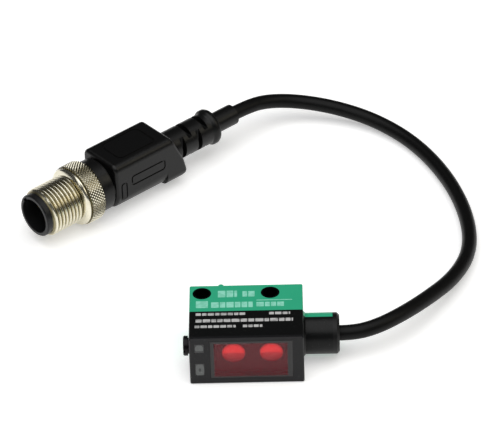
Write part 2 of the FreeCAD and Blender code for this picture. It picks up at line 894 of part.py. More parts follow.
def sensor_cores():
    """Four cores from the cable's end to pads on the back of the board."""
    start_x = clamp_start.value
    for label, (side, level) in CORE_PLACES.items():
        offset = S.core_offset.value
        height = middle.value + CORE_LEVELS[label]
        axis_height = S.cable_height.value
        start = Vector(start_x, split.value + side * offset, axis_height + level * offset)
        landing = board_back.value
        points = [
            start,
            start + Vector(-1.4, 0, 0),
            Vector(start_x - 3.4, landing + 1.3, height),
            Vector(start_x - 4.0, landing, height),
        ]
        solid, _, _ = swept_tube(points, S.core_radius.value)
        above_board = Part.makeBox(9, 9, 12.6, Vector(start_x - 9, landing, 0))
        keep(label, feature_of(solid.common(above_board)))


# ----------------------------------------------------------------------- the plug
# The plug is drawn along its own X axis, from the front rim, and then placed.

def place_plug(label, thing):
    place(thing, S.plug_x, S.plug_y, S.plug_height, Z_AXIS, S.plug_heading)
    keep(label, thing)


socket_radius = S.neck_radius - S.carrier_wall
nut_front = S.rim_length + S.nut_play
thread_end = nut_front + S.thread_length
band_front = thread_end + S.thread_relief + S.band_slope
knurl_front = band_front + S.band_length + S.band_groove
nut_back = knurl_front + S.knurl_length
mould_front = nut_back + S.nut_play
block_front = mould_front + S.overmould_collar
block_back = block_front + S.block_length
heel_front = block_back - S.heel_overlap
heel_back = heel_front + S.heel_length
core_block_front = S.carrier_length
core_block_back = core_block_front + S.core_block_length
jacket_front = core_block_front + S.core_run
boot_front = block_back - S.boot_seat
boot_end = heel_back + S.boot_length
bead_end = boot_end + S.boot_bead
tail_end = bead_end + S.tail_length
CONTACT_ANGLES = (0, 90, 180, 270)
KEYWAY_ANGLE = 45
BOOT_SLOTS = 4


def contact_places():
    for angle in CONTACT_ANGLES:
        across = S.contact_circle_radius * round(math.cos(math.radians(angle)), 6)
        upward = S.contact_circle_radius * round(math.sin(math.radians(angle)), 6)
        yield across, upward


def keyway_corners():
    """Outline of the coding groove, which lies between two contacts."""
    cosine = round(math.cos(math.radians(KEYWAY_ANGLE)), 6)
    sine = round(math.sin(math.radians(KEYWAY_ANGLE)), 6)
    half = S.keyway_width / 2
    inner = socket_radius - S.keyway_depth
    outer = socket_radius + S.keyway_depth
    for along, aside in ((inner, -half), (outer, -half), (outer, half), (inner, half)):
        yield along * cosine - aside * sine, along * sine + aside * cosine


def contact_carrier():
    body = turned(
        [
            (S.socket_depth, 0),
            (S.socket_depth, socket_radius),
            (0, socket_radius),
            (0, S.rim_radius - S.rim_chamfer),
            (S.rim_chamfer, S.rim_radius),
            (S.rim_length, S.rim_radius),
            (S.rim_length, S.neck_radius),
            (S.carrier_length, S.neck_radius),
            (S.carrier_length, 0),
        ]
    )
    holes = new_sketch(body, "YZ_Plane", S.socket_depth)
    for across, upward in contact_places():
        circle(holes, across, upward, S.contact_radius)
    pocket(body, holes, S.carrier_length - S.socket_depth, reverse=True)
    keyway = new_sketch(body, "YZ_Plane")
    polygon(keyway, keyway_corners())
    pocket(body, keyway, S.socket_depth, reverse=True)
    place_plug("contact_carrier", body)


def contact_pins():
    pins = []
    cores = []
    inward = math.sqrt(2) * S.core_offset.value / S.contact_circle_radius.value
    for across, upward in contact_places():
        point = doc.addObject("Part::Cone", "Tip")
        bind(point, "Radius1", S.contact_radius / 2)
        bind(point, "Radius2", S.contact_radius)
        bind(point, "Height", S.contact_radius)
        place(point, S.contact_setback, across, upward, Y_AXIS, 90)
        stem_start = S.contact_setback + S.contact_radius
        stem = rod(S.contact_radius, (stem_start, S.contact_end), "X", (across, upward))
        pins.append(fuse(point, stem))
        start = Vector(S.contact_end.value, across.value, upward.value)
        lead_end = Vector(S.carrier_length.value, across.value, upward.value)
        end = Vector(jacket_front.value, across.value * inward, upward.value * inward)
        before_end = end - Vector(1.2, 0, 0)
        after_lead = lead_end + Vector(0.6, 0, 0)
        path = [start, after_lead, before_end, end]
        cores.append(swept_tube(path, S.core_radius.value)[0])
    place_plug("contact_pins", group(*pins))
    place_plug("plug_cores", feature_of(Part.Compound(cores)))


def coupling_nut():
    """Freely turning nut; the thread is a cylinder of its major diameter."""
    bore = S.neck_radius + S.turn_gap
    nut = turned(
        [
            (nut_front, bore),
            (nut_front, S.thread_radius - S.thread_chamfer),
            (nut_front + S.thread_chamfer, S.thread_radius),
            (thread_end, S.thread_radius),
            (thread_end, S.thread_relief_radius),
            (thread_end + S.thread_relief, S.thread_relief_radius),
            (band_front, S.band_radius),
            (band_front + S.band_length, S.band_radius),
            (band_front + S.band_length, S.band_radius - S.band_groove),
            (knurl_front, S.band_radius - S.band_groove),
            (knurl_front, S.knurl_radius - S.knurl_chamfer),
            (knurl_front + S.knurl_chamfer, S.knurl_radius),
            (nut_back - S.knurl_chamfer, S.knurl_radius),
            (nut_back, S.knurl_radius - S.knurl_chamfer),
            (nut_back, bore),
        ]
    )
    place_plug("coupling_nut", nut)


def plug_overmould():
    """Round collar, grip block with a flat top, and a square heel that slopes."""
    body = new_body()
    block = new_sketch(body, "YZ_Plane", block_front)
    rectangle(
        block,
        (-S.block_half_width, S.block_half_width),
        (-S.block_bottom, S.block_top),
    )
    grip = pad(body, block, S.block_length)
    upper = edges_where(
        grip.Shape, lambda a, b: abs(a.x - b.x) > 1 and a.z > 0
    )
    eased = soften(body, grip, upper, S.block_top_edge, "Chamfer")
    lower = edges_where(
        eased.Shape, lambda a, b: abs(a.x - b.x) > 1 and a.z < -S.block_top.value / 2
    )
    soften(body, eased, lower, S.block_bottom_edge)
    collar = new_sketch(body, "YZ_Plane", mould_front)
    circle(collar, 0, 0, S.overmould_collar_radius)
    pad(body, collar, S.overmould_collar)
    heel = new_body()
    side_view = new_sketch(heel, "XZ_Plane", -S.block_half_width)
    polygon(
        side_view,
        [
            (heel_front, -S.block_bottom),
            (heel_back, -S.block_bottom),
            (heel_back, S.heel_lean - S.block_bottom),
            (block_back, S.block_top),
            (heel_front, S.block_top),
        ],
    )
    foot = pad(heel, side_view, S.block_half_width * 2)
    crest = edges_where(
        foot.Shape, lambda a, b: min(a.z, b.z) > 0 and abs(a.x - b.x) > 1
        and abs(a.z - b.z) < 1e-6
    )
    eased_foot = soften(heel, foot, crest, S.block_top_edge, "Chamfer")
    ridges = edges_where(
        eased_foot.Shape,
        lambda a, b: abs(a.y - b.y) < 1e-6
        and max(a.x, b.x) > heel_back.value - 1e-6
        and max(a.z, b.z) < 0,
    )
    soften(heel, eased_foot, ridges, S.heel_edge)
    tools = [
        rod(S.neck_radius, (mould_front, core_block_front), "X"),
        rod(S.core_block_radius, (core_block_front, core_block_back), "X"),
        rod(S.boot_neck_radius, (core_block_back, boot_front), "X"),
        rod(S.boot_radius, (boot_front, heel_back), "X"),
    ]
    place_plug("plug_overmould", cut(fuse(body, heel), *tools))


def plug_inner_block():
    """Potted block that holds the cores and grips the cable jacket."""
    blank = rod(S.core_block_radius, (core_block_front, core_block_back), "X")
    tools = [
        rod(S.cable_radius, (jacket_front, core_block_back), "X"),
        rod(S.contact_circle_radius + S.core_radius, (core_block_front, jacket_front), "X"),
    ]
    place_plug("plug_inner_block", cut(blank, *tools))


def bend_relief_boot():
    """Boot with slots to the sides and to top and bottom by turns, and an end bead."""
    blank = turned(
        [
            (core_block_back, S.cable_radius),
            (bead_end, S.cable_radius),
            (bead_end, S.boot_bead_radius - S.fit_gap * 6),
            (bead_end - S.fit_gap * 6, S.boot_bead_radius),
            (boot_end + S.fit_gap * 6, S.boot_bead_radius),
            (boot_end, S.boot_radius),
            (boot_front, S.boot_radius),
            (boot_front, S.boot_neck_radius),
            (core_block_back, S.boot_neck_radius),
        ]
    )
    floor = S.cable_radius + S.boot_slot_floor
    reach = S.boot_radius * 1.1
    full = (-reach, reach)
    tools = []
    for number in range(BOOT_SLOTS):
        start = heel_back + S.boot_slot_start + S.boot_slot_pitch * number
        along = (start, start + S.boot_slot_width)
        for depth in ((floor, reach), (-reach, -floor)):
            tools.append(box(along, full, depth) if number % 2 else box(along, depth, full))
    place_plug("bend_relief_boot", cut(blank, *tools))


def cable_tail():
    sleeve = turned(tube_outline(bead_end, tail_end, S.cable_radius, S.tail_radius))
    place_plug("cable_end_sleeve", sleeve)
    jacket = rod(S.cable_radius, (jacket_front, tail_end), "X")
    place_plug("cable_end_in_plug", group(jacket))


# ---------------------------------------------------------------- the free cable

ROUTE = [
    (24.0, 0.35, 5.8),
    (28.6, 1.7, 6.1),
    (33.6, 5.2, 6.1),
    (40.3, 12.8, 4.9),
    (47.8, 23.5, 3.2),
    (52.2, 36.0, 1.95),
    (51.9, 50.5, 1.8),
    (47.9, 66.0, 1.8),
    (40.9, 80.0, 1.8),
    (31.8, 89.0, 2.5),
    (22.0, 93.2, 3.8),
    (12.5, 94.4, 5.1),
    (5.0, 92.4, 6.6),
    (0.1, 88.5, 7.6),
]


def free_cable():
    """Cable from the grommet to the plug's end sleeve, lying in one loop."""
    heading = math.radians(S.plug_heading.value)
    reach = tail_end.value
    start = Vector(grommet_end.value, split.value, S.cable_height.value)
    end = Vector(
        S.plug_x.value + reach * math.cos(heading),
        S.plug_y.value + reach * math.sin(heading),
        S.plug_height.value,
    )
    points = [start] + [Vector(*point) for point in ROUTE] + [end]
    solid, path, radii = swept_tube(points, S.cable_radius.value)
    section = math.pi * S.cable_radius.value**2
    print("cable length", round(path.Length, 1), "mm")
    print("arc radii", [round(radius, 1) for radius in radii])
    print("volume over section x length", round(solid.Volume / section / path.Length, 4))
    print("lowest point", round(solid.BoundBox.ZMin, 3))
    keep("cable", feature_of(solid))


# ----------------------------------------------------------------------- assembly

front_housing()
rear_housing()
front_cover()
front_window()
lens_carrier()
lens("transmitter_lens", lens_places[0])
lens("receiver_lens", lens_places[1])
light_guide(
    "upper_light_guide",
    S.upper_indicator_bottom,
    S.upper_indicator_height,
    upper_rod_level,
)
light_guide(
    "lower_light_guide",
    S.lower_indicator_bottom,
    S.lower_indicator_height,
    S.lower_rod_level,
)
electronics()
adjuster()
mounting_sleeves()
locating_pin()
cable_entry()
sensor_cores()
contact_carrier()
contact_pins()
coupling_nut()
plug_overmould()
plug_inner_block()
bend_relief_boot()
cable_tail()
free_cable()
doc.recompute()

for thing in doc.Objects:
    if "Invalid" in thing.State or "Error" in thing.State:
        raise RuntimeError(f"{thing.Label} failed: {thing.State}")
for label, thing in parts.items():
    if thing.Shape.isNull() or not thing.Shape.isValid():
        raise RuntimeError(f"{label} has no valid shape")

os.makedirs("parts", exist_ok=True)
for label, thing in parts.items():
    thing.Shape.exportStep(f"parts/{label}.step")
print(len(parts), "sub-parts written")
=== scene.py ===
import json
import math
import random

import bmesh
import bpy
from mathutils import Matrix, Vector


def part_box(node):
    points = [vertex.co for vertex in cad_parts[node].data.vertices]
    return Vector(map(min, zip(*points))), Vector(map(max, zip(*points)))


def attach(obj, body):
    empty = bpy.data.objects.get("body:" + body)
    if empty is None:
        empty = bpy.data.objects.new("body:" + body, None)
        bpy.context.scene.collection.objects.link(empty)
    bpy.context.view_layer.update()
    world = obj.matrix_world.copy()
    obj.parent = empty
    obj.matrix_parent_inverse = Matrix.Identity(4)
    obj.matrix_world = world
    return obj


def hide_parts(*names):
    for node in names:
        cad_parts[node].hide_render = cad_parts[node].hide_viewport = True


# A miniature photoelectric sensor with its cable and round threaded plug, dressed
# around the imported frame.  Everything is in metres.

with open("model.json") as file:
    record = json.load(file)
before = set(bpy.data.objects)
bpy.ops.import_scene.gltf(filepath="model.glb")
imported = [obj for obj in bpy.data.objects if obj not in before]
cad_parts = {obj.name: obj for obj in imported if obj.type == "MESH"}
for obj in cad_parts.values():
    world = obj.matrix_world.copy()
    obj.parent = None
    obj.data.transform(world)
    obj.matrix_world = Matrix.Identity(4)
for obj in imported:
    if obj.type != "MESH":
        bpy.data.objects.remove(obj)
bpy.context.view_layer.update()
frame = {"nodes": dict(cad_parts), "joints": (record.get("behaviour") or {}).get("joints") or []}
nodes = frame["nodes"]
joints = {joint["name"]: joint for joint in frame["joints"]}

MM = 0.001
UP = Vector((0, 0, 1))


# -------------------------------------------------------------------- the camera

def aim_camera():
    """A long lens, a little above and in front of the optical face."""
    azimuth, elevation, roll = math.radians(-0.853), math.radians(36.053), math.radians(-1.713)
    target = Vector((0.709, 50.710, 0)) * MM
    distance = 795.086 * MM
    forward = Vector(
        (
            math.sin(azimuth) * math.cos(elevation),
            math.cos(azimuth) * math.cos(elevation),
            -math.sin(elevation),
        )
    )
    level = Vector((math.cos(azimuth), -math.sin(azimuth), 0))
    upright = level.cross(forward)
    across = level * math.cos(roll) + upright * math.sin(roll)
    upward = upright * math.cos(roll) - level * math.sin(roll)
    data = bpy.data.cameras.new("camera")
    data.sensor_width = 36
    data.lens = 241.86
    data.clip_start = 0.01
    data.clip_end = 10
    camera = bpy.data.objects.new("camera", data)
    bpy.context.scene.collection.objects.link(camera)
    facing = Matrix((across, upward, -forward)).transposed().to_4x4()
    camera.matrix_world = Matrix.Translation(target - forward * distance) @ facing
    bpy.context.scene.camera = camera


aim_camera()


# --------------------------------------------------------------- shader building

class Field:
    """A shader value; each sum written with it adds a Math node."""

    def __init__(self, look, socket):
        self.look = look
        self.socket = socket

    def __add__(self, other):
        return self.look.maths("ADD", self, other)

    def __sub__(self, other):
        return self.look.maths("SUBTRACT", self, other)

    def __rsub__(self, other):
        return self.look.maths("SUBTRACT", other, self)

    def __mul__(self, other):
        return self.look.maths("MULTIPLY", self, other)

    def __truediv__(self, other):
        return self.look.maths("DIVIDE", self, other)

    __radd__ = __add__
    __rmul__ = __mul__


class Look:
    """A material and the nodes that vary it."""

    def __init__(self, name, **constants):
        self.material = bpy.data.materials.new(name)
        self.material.use_nodes = True
        self.tree = self.material.node_tree
        self.shader = self.tree.nodes["Principled BSDF"]
        for socket, value in constants.items():
            self.shader.inputs[socket.replace("_", " ")].default_value = value
        self.position = self.node("ShaderNodeTexCoord").outputs["Object"]

    def node(self, kind, settings=None, inputs=None):
        made = self.tree.nodes.new(kind)
        for name, value in (settings or {}).items():
            setattr(made, name, value)
        for name, value in (inputs or {}).items():
            self.feed(made.inputs[name], value)
        return made

    def feed(self, socket, value):
        if isinstance(value, Field):
            value = value.socket
        if isinstance(value, bpy.types.NodeSocket):
            self.tree.links.new(value, socket)
        else:
            socket.default_value = value

    def maths(self, operation, first, second=0.0):
        made = self.node("ShaderNodeMath", {"operation": operation})
        for number, value in enumerate((first, second)):
            self.feed(made.inputs[number], value)
        return Field(self, made.outputs[0])

    def step(self, value, low, high):
        """0 below low and 1 above high, with a smooth way between."""
        made = self.node(
            "ShaderNodeMapRange",
            {"interpolation_type": "SMOOTHSTEP"},
            {"Value": value, "From Min": low, "From Max": high},
        )
        return Field(self, made.outputs["Result"])

    def noise(self, size, detail=2.0):
        """Noise whose lumps are about size metres across."""
        made = self.node(
            "ShaderNodeTexNoise",
            None,
            {"Vector": self.position, "Scale": 1 / size, "Detail": detail},
        )
        return Field(self, made.outputs["Fac"])

    def along(self, axis):
        """One coordinate of the piece, in metres."""
        split = self.node("ShaderNodeSeparateXYZ", None, {"Vector": self.position})
        return Field(self, split.outputs[axis])

    def mix(self, factor, first, second):
        """Blend two colours."""
        made = self.node("ShaderNodeMix", {"data_type": "RGBA"})
        self.feed(made.inputs[0], factor)
        self.feed(made.inputs[6], first)
        self.feed(made.inputs[7], second)
        return made.outputs[2]

    def set(self, socket, value):
        self.feed(self.shader.inputs[socket], value)

    def bump(self, height, distance, strength=1.0):
        made = self.node(
            "ShaderNodeBump",
            None,
            {"Height": height, "Distance": distance, "Strength": strength},
        )
        self.set("Normal", made.outputs["Normal"])


def tone(red, green, blue):
    """An sRGB colour of 0 to 255 as a linear one."""
    linear = []
    for part in (red, green, blue):
        part = part / 255
        linear.append(part / 12.92 if part <= 0.04045 else ((part + 0.055) / 1.055) ** 2.4)
    return (*linear, 1.0)


def moulded(name, colour, lighter, roughness=0.36, grain=0.25, depth=0.012, specular=0.4):
    """Moulded plastic: spark-eroded grain, slow shade changes and a little dust."""
    look = Look(name, Specular_IOR_Level=specular)
    clouds = look.noise(6 * MM, 3)
    dust = look.step(look.noise(0.35 * MM, 1), 0.68, 0.76)
    shade = look.mix(clouds * 0.5, colour, lighter)
    look.set("Base Color", look.mix(dust * 0.06, shade, tone(150, 150, 146)))
    look.set("Roughness", look.noise(0.6 * MM) * 0.12 + (roughness - 0.06) + dust * 0.1)
    look.bump(look.noise(grain * MM, 3), depth * MM, 0.4)
    return look.material


def rubber(name, colour, lighter, roughness=0.42, specular=0.5):
    """Soft black moulding: fine matt texture and faint rubbed patches."""
    look = Look(name, Specular_IOR_Level=specular)
    rubbed = look.step(look.noise(3.5 * MM, 4), 0.5, 0.75)
    look.set("Base Color", look.mix(rubbed * 0.4, colour, lighter))
    look.set("Roughness", look.noise(0.5 * MM) * 0.16 + (roughness - 0.08) - rubbed * 0.06)
    look.bump(look.noise(0.12 * MM, 3), 0.008 * MM, 0.4)
    return look.material


def metal(name, colour, darker, roughness=0.14):
    """Plated metal with faint tool marks and slightly tarnished patches."""
    look = Look(name, Metallic=1.0)
    tarnish = look.step(look.noise(2.2 * MM, 3), 0.45, 0.8)
    look.set("Base Color", look.mix(tarnish * 0.7, colour, darker))
    look.set("Roughness", look.noise(0.4 * MM) * 0.1 + roughness)
    look.bump(look.noise(0.1 * MM), 0.003 * MM, 0.3)
    return look.material


def clear(name, colour, alpha, roughness=0.12):
    """Clear or smoky plastic with a slight haze."""
    look = Look(name, Alpha=alpha, Specular_IOR_Level=0.6)
    haze = look.noise(2.5 * MM)
    look.set("Base Color", look.mix(haze * 0.3, colour, tone(20, 20, 20)))
    look.set("Roughness", haze * 0.06 + roughness)
    return look.material


# --------------------------------------------------------------- the cable's route

CABLE_ROUTE = [
    (24.0, 0.35, 5.8),
    (28.6, 1.7, 6.1),
    (33.6, 5.2, 6.1),
    (40.3, 12.8, 4.9),
    (47.8, 23.5, 3.2),
    (52.2, 36.0, 1.95),
    (51.9, 50.5, 1.8),
    (47.9, 66.0, 1.8),
    (40.9, 80.0, 1.8),
    (31.8, 89.0, 2.5),
    (22.0, 93.2, 3.8),
    (12.5, 94.4, 5.1),
    (5.0, 92.4, 6.6),
    (0.1, 88.5, 7.6),
]
CABLE_RADIUS = 1.75 * MM
SLEEVE_BACK = 61.3


# ------------------------------------------------------------- where the plug stands

spin = joints["nut_spin"]
plug_axis = Vector(spin["axis"]).normalized()
plug_front = Vector(spin["pos_m"]) - plug_axis * 8 * MM
PLUG_FRAME = Matrix((plug_axis, UP.cross(plug_axis), UP)).transposed().to_4x4()
PLUG_FRAME.translation = plug_front

NUT_FRONT = 1.55
THREAD_END = 9.95
SHOULDER = 10.95
KNURL_FRONT = 11.6
NUT_BACK = 15.9
BORE = 4.86
THREAD_CREST = 5.99
THREAD_ROOT = 5.4
PITCH = 1.0
KNURL_PEAK = 7.54
KNURL_CUT = 0.9
KNURL_FLOOR = 7.2


# --------------------------------------------------------------------- the finishes

GREEN = moulded("green_shell", tone(48, 178, 135), tone(42, 166, 125), 0.42)
BLACK = moulded("black_shell", tone(10, 11, 11), tone(15, 15, 16), 0.34, specular=0.18)
CHARCOAL = moulded("charcoal_cover", tone(20, 20, 22), tone(25, 25, 27), 0.36, specular=0.23)
CARRIER = moulded("contact_carrier", tone(18, 18, 19), tone(25, 25, 26), 0.38, specular=0.28)
RUBBER = rubber("black_rubber", tone(10, 10, 11), tone(16, 16, 16), 0.46, 0.25)
MOULD = rubber("overmould_rubber", tone(10, 10, 10), tone(16, 16, 15), 0.34, 0.26)
JACKET = rubber("cable_jacket", tone(10, 10, 10), tone(16, 16, 15), 0.42, 0.14)
GOLD = metal("gold_plate", tone(236, 210, 150), tone(214, 180, 110))
BRASS = metal("crimp_brass", tone(205, 170, 100), tone(160, 125, 65), 0.28)
SLEEVE = metal("blackened_sleeve", tone(16, 16, 16), tone(8, 8, 8), 0.42)
LAMP = clear("clear_lamp", tone(220, 220, 205), 0.9, 0.2)
BOARD = moulded("board_laminate", tone(20, 92, 52), tone(34, 118, 66))
CHIP = moulded("chip_case", tone(30, 30, 32), tone(40, 40, 42), 0.45)
CERAMIC = moulded("chip_ceramic", tone(176, 142, 100), tone(150, 118, 80), 0.45)
BLUE = moulded("trimmer_blue", tone(42, 84, 160), tone(34, 70, 138), 0.4)
WHITE = moulded("white_plastic", tone(222, 222, 216), tone(205, 205, 198), 0.4)
BROWN_CORE = moulded("brown_insulation", tone(98, 60, 34), tone(84, 50, 28))
BLUE_CORE = moulded("blue_insulation", tone(40, 70, 170), tone(34, 60, 150))
BLACK_CORE = moulded("black_insulation", tone(22, 22, 22), tone(32, 32, 32))
GREY_CORE = moulded("grey_insulation", tone(120, 120, 120), tone(104, 104, 104))


def nickel_look():
    """Plated nut, with painted shade down in the thread, in the groove and between the knurls."""
    look = Look("nickel_plate", Metallic=1.0)
    x, y, z = (look.along(axis) for axis in "XYZ")
    ahead, beside = plug_axis, UP.cross(plug_axis)
    station = x * ahead.x + y * ahead.y - plug_front.dot(ahead)
    aside = x * beside.x + y * beside.y - plug_front.dot(beside)
    height = z - plug_front.z
    radius = look.maths("SQRT", aside * aside + height * height)
    thread = look.step(radius, (THREAD_ROOT + 0.02) * MM, (THREAD_CREST - 0.12) * MM)
    knurl = look.step(radius, (KNURL_FLOOR + 0.03) * MM, (KNURL_PEAK - 0.1) * MM)
    at_knurl = look.step(station, (SHOULDER + 0.35) * MM, (SHOULDER + 0.5) * MM)
    raised = thread + (knurl - thread) * at_knurl
    tarnish = look.step(look.noise(2.2 * MM, 3), 0.45, 0.8)
    plate = look.mix(tarnish * 0.6, tone(230, 225, 206), tone(200, 192, 160))
    # recess: painted shade for the thread roots, the groove and the pits between the knurls
    recess = look.mix(at_knurl, tone(150, 142, 112), tone(96, 88, 60))
    look.set("Base Color", look.mix(raised, recess, plate))
    look.set("Roughness", look.noise(0.4 * MM) * 0.1 + 0.3 - raised * 0.16)
    look.bump(look.noise(0.1 * MM), 0.003 * MM, 0.3)
    return look.material


NICKEL = nickel_look()


def window_look():
    """Deep red filter pane, printed black round its border."""
    look = Look("red_window", Specular_IOR_Level=0.5)
    low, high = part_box("front_window")
    lip, soft = 0.5 * MM, 0.12 * MM
    edge_left, edge_right = low.x + lip, high.x - lip
    edge_low, edge_top = low.z + 0.35 * MM, high.z - 0.05 * MM
    x, z = look.along("X"), look.along("Z")

    def within(left, right, bottom, top):
        return (
            look.step(x, left - soft, left + soft)
            * look.step(right - x, -soft, soft)
            * look.step(z, bottom - soft, bottom + soft)
            * look.step(top - z, -soft, soft)
        )

    inside = within(
        edge_left + 0.92 * MM, edge_right - 1.2 * MM, edge_low + 0.5 * MM, edge_top - 0.55 * MM
    )
    border = within(
        edge_left + 0.35 * MM, edge_right - 0.1 * MM, edge_low + 0.15 * MM, edge_top - 0.15 * MM
    )
    pane = look.mix(look.noise(5 * MM) * 0.5, tone(124, 34, 44), tone(102, 26, 36))
    printed_edge = look.mix(border, tone(8, 8, 8), tone(18, 16, 18))
    look.set("Base Color", look.mix(inside, printed_edge, pane))
    look.set("Alpha", 1 - inside * 0.55)
    look.set("Roughness", look.noise(1.5 * MM) * 0.05 + 0.07)
    return look.material


def lens_look(node):
    """Red lens with a painted glow: painted light in the upper part of its dome, painted shade
    lower down and towards its edge.
    """
    # The emission is painted light on the lens, which is no lamp.
    look = Look(node, Specular_IOR_Level=0.6, Emission_Strength=1.0)
    low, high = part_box(node)
    centre = (low + high) / 2
    radius = (high.x - low.x) / 2
    across = (look.along("X") - centre.x) / radius
    rise = (look.along("Z") - centre.z) / radius
    bow = rise + across * across * 0.35
    # Painted light on the upper part of the dome, painted shade on the lower part.
    painted_light = look.step(bow, -0.9, 0.55) * 0.45 + look.step(bow, 0.3, 0.42) * 0.55
    # rim: painted shade towards the lens's edge.
    rim = 1 - look.step(across * across + rise * rise, 0.72, 1.0)
    painted_glow = look.mix(painted_light, (0.08, 0.003, 0.006, 1), (1.9, 0.09, 0.09, 1))
    look.set("Emission Color", look.mix(rim * 0.75 + 0.25, (0.03, 0.001, 0.002, 1), painted_glow))
    look.set("Base Color", look.mix(look.noise(2 * MM) * 0.3, tone(190, 30, 34), tone(160, 24, 30)))
    look.set("Roughness", look.noise(1 * MM) * 0.06 + 0.1)
    return look.material


def guide_look(node, domed):
    """Smoky light guide; the upper one shows a domed lamp with painted shade along its foot, the
    lower one a square one.
    """
    look = Look(node, Specular_IOR_Level=0.5)
    low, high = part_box(node)
    centre = (low + high) / 2
    half_x, half_z = 0.93 * MM, (high.z - low.z) / 2 - 0.2 * MM
    across = (look.along("X") - centre.x) / half_x
    rise = (look.along("Z") - centre.z) / half_z
    square = look.maths("POWER", look.maths("ABSOLUTE", across), 4)
    if domed:
        upper = look.maths("MAXIMUM", rise, 0.0)
        lower = look.maths("MINIMUM", rise, 0.0)
        span = square * 0.6 + across * across * 0.4 + upper * upper + lower * lower * lower * lower
        # Painted shade: the foot of the domed lamp is painted darker.
        core = look.step(rise, -0.75, -0.45)
    else:
        span = square + look.maths("POWER", look.maths("ABSOLUTE", rise), 4)
        core = look.step(across * across + rise * rise, 0.04, 0.16)
    lamp = 1 - look.step(span, 0.7, 1.15)
    face = look.mix(core, tone(50, 52, 52), tone(84, 87, 86))
    look.set("Base Color", look.mix(lamp, tone(30, 30, 32), face))
    look.set("Roughness", look.noise(0.5 * MM) * 0.08 + 0.22)
    return look.material


NODE_LOOKS = {
    "rear_housing": GREEN,
    "front_housing": BLACK,
    "front_cover": CHARCOAL,
    "front_window": window_look(),
    "lens_carrier": BLACK,
    "transmitter_lens": lens_look("transmitter_lens"),
    "receiver_lens": lens_look("receiver_lens"),
    "upper_light_guide": guide_look("upper_light_guide", True),
    "lower_light_guide": guide_look("lower_light_guide", False),
    "circuit_board": BOARD,
    "emitter_led": LAMP,
    "receiver_chip": CHIP,
    "indicator_leds": LAMP,
    "controller_chip": CHIP,
    "output_transistors": CHIP,
    "chip_capacitors": CERAMIC,
    "adjuster_knob": BLACK,
    "trimmer_rotor": WHITE,
    "trimmer": BLUE,
    "shaft_seal": RUBBER,
    "mounting_sleeves": SLEEVE,
    "locating_pin": GREEN,
    "cable_grommet": RUBBER,
    "cable_clamp": BRASS,
    "cable_end_in_sensor": JACKET,
    "brown_core": BROWN_CORE,
    "white_core": WHITE,
    "blue_core": BLUE_CORE,
    "black_core": BLACK_CORE,
    "plug_cores": GREY_CORE,
    "contact_carrier": CARRIER,
    "contact_pins": GOLD,
    "coupling_nut": NICKEL,
    "plug_overmould": MOULD,
    "plug_inner_block": WHITE,
    "bend_relief_boot": MOULD,
    "cable_end_sleeve": MOULD,
    "cable_end_in_plug": JACKET,
}
for name, finish in NODE_LOOKS.items():
    slots = nodes[name].data.materials
    slots.clear()
    slots.append(finish)


# ------------------------------------------------------------------- small helpers

def finished(bm, name, look, body, smooth_below=35):
    """Make a piece of a bmesh and let it ride on a body."""
    mesh = bpy.data.meshes.new(name)
    bm.to_mesh(mesh)
    bm.free()
    mesh.materials.append(look)
    mesh.shade_smooth()
    mesh.set_sharp_from_angle(angle=math.radians(smooth_below))
    made = bpy.data.objects.new(name, mesh)
    bpy.context.scene.collection.objects.link(made)
    steady = made.modifiers.new("steady_flats", "WEIGHTED_NORMAL")
    steady.keep_sharp = True
    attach(made, body)
    return made


def turned(outline, steps=96):
    """Turn a closed outline of (station, radius) about the X axis."""
    bm = bmesh.new()
    corners = [bm.verts.new((station * MM, radius * MM, 0)) for station, radius in outline]
    edges = [
        bm.edges.new((corner, corners[(number + 1) % len(corners)]))
        for number, corner in enumerate(corners)
    ]
    bmesh.ops.spin(
        bm,
        geom=corners + edges,
        cent=(0, 0, 0),
        axis=(1, 0, 0),
        angle=math.tau,
        steps=steps,
        use_merge=True,
    )
    bmesh.ops.remove_doubles(bm, verts=bm.verts, dist=0.0005 * MM)
    bmesh.ops.recalc_face_normals(bm, faces=bm.faces)
    return bm


def merge_into(bm, other):
    """Add one bmesh to another."""
    scratch = bpy.data.meshes.new("scratch")
    other.to_mesh(scratch)
    other.free()
    bm.from_mesh(scratch)
    bpy.data.meshes.remove(scratch)


def side_block(outline, half_width):
    """A block of a side outline of (station, height), as wide to both sides."""
    bm = bmesh.new()
    near = [bm.verts.new((s * MM, -half_width * MM, u * MM)) for s, u in outline]
    grown = bmesh.ops.extrude_face_region(bm, geom=[bm.faces.new(near)])
    moved = [item for item in grown["geom"] if isinstance(item, bmesh.types.BMVert)]
    bmesh.ops.translate(bm, vec=(0, 2 * half_width * MM, 0), verts=moved)
    bmesh.ops.recalc_face_normals(bm, faces=bm.faces)
    return bm


def bar(x, y, z, along=None, radius=0.0):
    """A box between two limits on each axis, its edges along one axis rounded."""
    bm = bmesh.new()
    bmesh.ops.create_cube(bm, size=MM)
    bmesh.ops.scale(bm, vec=(x[1] - x[0], y[1] - y[0], z[1] - z[0]), verts=bm.verts)
    middle = Vector((x[0] + x[1], y[0] + y[1], z[0] + z[1])) / 2
    bmesh.ops.translate(bm, vec=middle * MM, verts=bm.verts)
    if along is not None:
        chosen = [
            edge
            for edge in bm.edges
            if abs(edge.verts[0].co[along] - edge.verts[1].co[along]) > 0.01 * MM
        ]
        round_edges(bm, chosen, radius, 5)
    return bm


def round_edges(bm, edges, radius, segments):
    bmesh.ops.bevel(
        bm,
        geom=edges,
        offset=radius * MM,
        offset_type="OFFSET",
        segments=segments,
        profile=0.5,
        affect="EDGES",
        material=-1,
        clamp_overlap=True,
    )


def spare_object(bm):
    """An object for the booleans, taken away again afterwards."""
    mesh = bpy.data.meshes.new("spare")
    bm.to_mesh(mesh)
    bm.free()
    made = bpy.data.objects.new("spare", mesh)
    bpy.context.scene.collection.objects.link(made)
    return made


